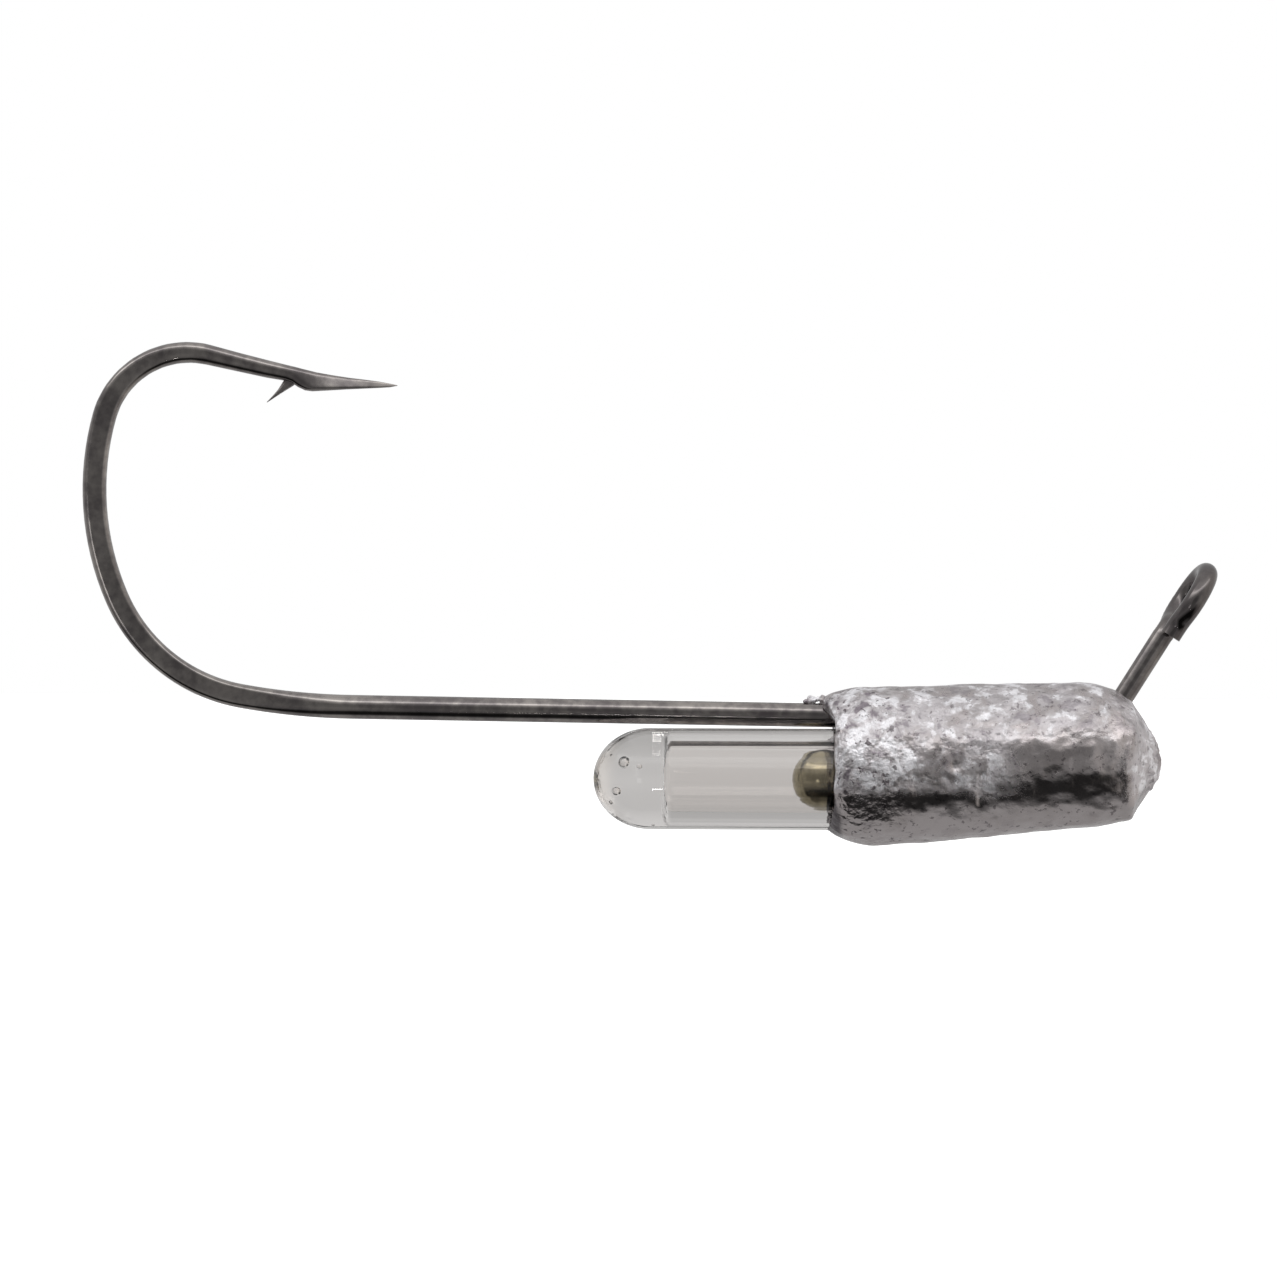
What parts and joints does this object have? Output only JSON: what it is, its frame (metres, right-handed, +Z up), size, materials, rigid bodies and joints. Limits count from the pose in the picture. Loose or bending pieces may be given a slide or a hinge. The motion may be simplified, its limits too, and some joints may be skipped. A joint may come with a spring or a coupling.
{
  "type": "jig head",
  "caption": "Rattling tube jig head: barbed sixty-degree hook, lead head cast on its shank, sealed glass vial of rolling steel balls.",
  "frame": {"origin": "centre of the hole in the line eye", "axes": "+X forward along the vial, from the bend of the hook towards the nose; +Z up, on the side of the hook's point; Y across the hook, with Y = 0 its plane"},
  "size_m": [0.0548, 0.0076, 0.0242],
  "materials": {
    "hook_wire": "black nickel plate on forged high-carbon steel wire",
    "cast_lead": "bare cast lead, mottled and slightly oxidised",
    "vial_glass": "clear, flame-sealed, with small bubbles in the ends",
    "ball_steel": "polished bearing steel with a warm, brassy tone"
  },
  "bodies": {
    "root": {"eye_ring": "hook_wire", "eye_leg": "hook_wire", "hook_shank": "hook_wire", "bend_ease": "hook_wire", "bend_heel": "hook_wire", "bend_back": "hook_wire", "bend_crown": "hook_wire", "hook_point": "hook_wire", "hook_barb": "hook_wire", "lead_head": "cast_lead", "rattle_vial": "vial_glass"},
    "rear_ball_body": {"rear_ball": "ball_steel"},
    "middle_ball_body": {"middle_ball": "ball_steel"},
    "front_ball_body": {"front_ball": "ball_steel"}
  },
  "joints": [
    {"name": "rear_ball_roll", "type": "slide", "parent": "root", "child": "rear_ball_body", "axis": [1, 0, 0], "range_m": [-0.0063, 0]},
    {"name": "middle_ball_play", "type": "slide", "parent": "rear_ball_body", "child": "middle_ball_body", "axis": [1, 0, 0], "range_m": [0, 0.0005]},
    {"name": "front_ball_play", "type": "slide", "parent": "middle_ball_body", "child": "front_ball_body", "axis": [1, 0, 0], "range_m": [0, 0.0005]}
  ]
}
